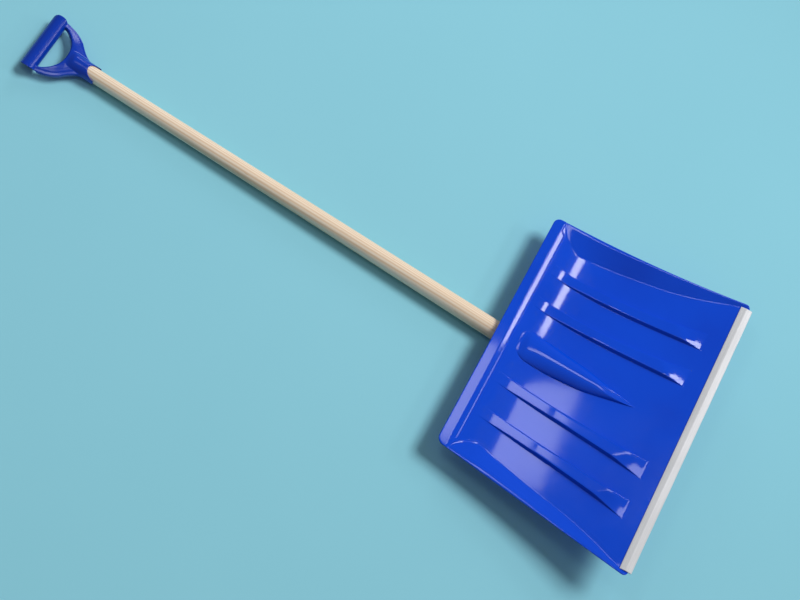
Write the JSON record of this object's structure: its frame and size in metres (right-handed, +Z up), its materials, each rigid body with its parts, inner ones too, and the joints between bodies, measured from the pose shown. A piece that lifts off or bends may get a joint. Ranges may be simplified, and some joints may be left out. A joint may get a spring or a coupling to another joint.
{
  "type": "snow shovel",
  "caption": "Snow shovel with a wide ribbed plastic scoop, a metal wear strip on its front edge, a tapered wooden shaft and a D-shaped hand grip.",
  "frame": {"origin": "centre of the bounding box, on the ground that the shovel lies on", "axes": "+X along the shaft from the grip towards the scoop's front edge, +Y across the scoop, +Z up; the shovel lies on its back with the open side of the scoop up"},
  "size_m": [1.2134, 0.5162, 0.0865],
  "materials": {
    "blue_plastic": "glossy moulded polypropylene",
    "aluminium_strip": "brushed along its length",
    "shaft_wood": "plain sanded pale wood, straight grain",
    "screw_steel": "zinc plated"
  },
  "bodies": {
    "root": {"scoop": "blue_plastic", "front_edge_strip": "aluminium_strip", "shaft": "shaft_wood", "d_handle": "blue_plastic", "scoop_screws": "screw_steel", "handle_screw": "screw_steel"}
  },
  "joints": []
}
